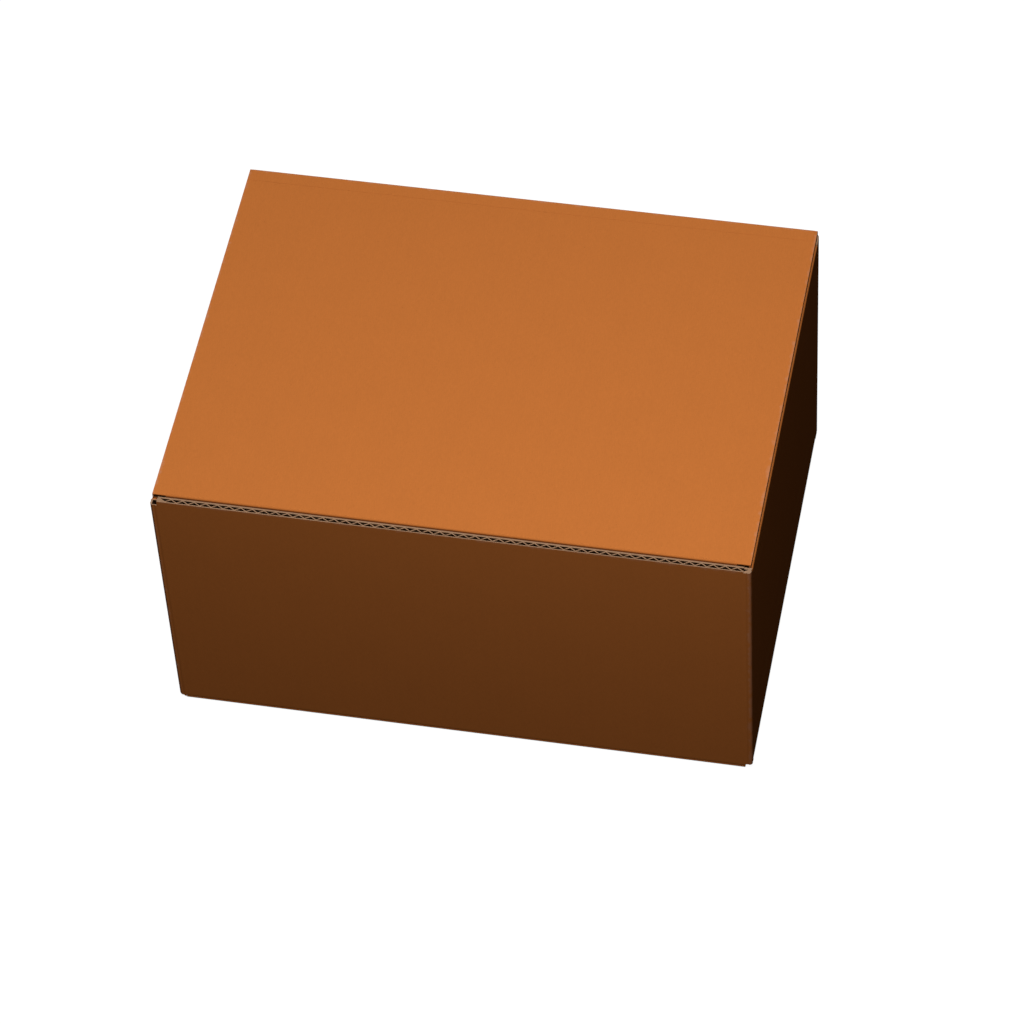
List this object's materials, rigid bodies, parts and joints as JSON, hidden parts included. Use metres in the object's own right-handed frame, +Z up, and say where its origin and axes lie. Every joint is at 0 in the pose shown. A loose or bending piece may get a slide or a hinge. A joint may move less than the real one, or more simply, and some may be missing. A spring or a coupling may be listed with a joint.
{
  "type": "closed cardboard box",
  "caption": "Closed corrugated cardboard box with a hinged tuck-in lid, open flutes along the front wall's cut edge and folded bottom flaps.",
  "frame": {"origin": "middle of the underside that the box rests on", "axes": "+X to the right along the longest side, -Y to the front where the lid tucks in, +Z up"},
  "size_m": [0.4, 0.302, 0.215],
  "materials": {
    "kraft_board": "matt uncoated kraft liner",
    "kraft_lid": "matt uncoated kraft liner"
  },
  "bodies": {
    "box": {"box_body": "kraft_board"},
    "lid": {"lid": "kraft_lid"}
  },
  "joints": [
    {"name": "lid_hinge", "type": "hinge", "parent": "box", "child": "lid", "pos_m": [0, 0.151, 0.215], "axis": [-1, 0, 0], "range_deg": [0, 220]}
  ]
}
